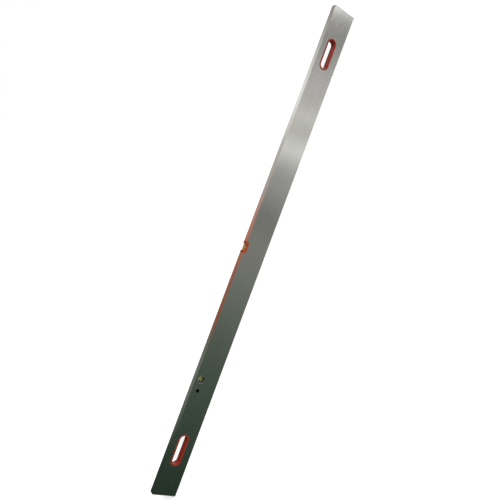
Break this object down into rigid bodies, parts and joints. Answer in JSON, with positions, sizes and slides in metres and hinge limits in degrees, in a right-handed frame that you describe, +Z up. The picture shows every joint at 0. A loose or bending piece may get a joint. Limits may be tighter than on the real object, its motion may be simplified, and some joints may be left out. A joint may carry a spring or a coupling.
{
  "type": "screeding straightedge",
  "caption": "Hand screeding straightedge: hollow aluminium bar with lined hand slots, a level vial in its top edge, a round plumb vial window and end caps.",
  "frame": {"origin": "middle of the lower narrow edge, on the surface that the bar stands on", "axes": "X along the bar, with the plumb vial on the -X side; -Y is the front face; +Z is up, towards the edge that holds the level vial"},
  "size_m": [2, 0.0266, 0.1],
  "materials": {
    "profile": "mill-finished extrusion with fine lengthwise draw lines",
    "end_cap": "moulded, fine grain",
    "slot_liner": "moulded, semi-gloss orange-red",
    "saddle": "moulded, semi-gloss orange-red",
    "screw": "zinc plated",
    "vial": "clear acrylic, tinted yellow-green by the spirit inside",
    "vial_plug": "moulded",
    "vial_line": "black",
    "bubble": "gas bubble",
    "bezel": "moulded, glossy dark grey",
    "lens": "clear acrylic"
  },
  "bodies": {
    "straightedge": {"straightedge_profile": "profile", "end_cap_left": "end_cap", "end_cap_right": "end_cap", "hand_slot_left_front": "slot_liner", "hand_slot_left_back": "slot_liner", "hand_slot_right_front": "slot_liner", "hand_slot_right_back": "slot_liner", "level_saddle": "saddle", "level_screw_left": "screw", "level_screw_right": "screw", "level_vial_block": "vial", "level_vial_plug_left": "vial_plug", "level_vial_plug_right": "vial_plug", "level_vial_line_left": "vial_line", "level_vial_line_right": "vial_line", "plumb_bezel_front": "bezel", "plumb_bezel_back": "bezel", "plumb_lens_front": "lens", "plumb_lens_back": "lens", "plumb_vial_tube": "vial", "plumb_vial_plug_lower": "vial_plug", "plumb_vial_plug_upper": "vial_plug", "plumb_vial_line_lower": "vial_line", "plumb_vial_line_upper": "vial_line"},
    "level_bubble": {"level_bubble": "bubble"},
    "plumb_bubble": {"plumb_bubble": "bubble"}
  },
  "joints": [
    {"name": "level_bubble_slide", "type": "slide", "parent": "straightedge", "child": "level_bubble", "axis": [1, 0, 0], "range_m": [-0.0072, 0.0072], "stiffness_N_per_m": 2},
    {"name": "plumb_bubble_slide", "type": "slide", "parent": "straightedge", "child": "plumb_bubble", "axis": [0, 0, 1], "range_m": [-0.014, 0], "stiffness_N_per_m": 2, "springref_m": 0.008}
  ]
}
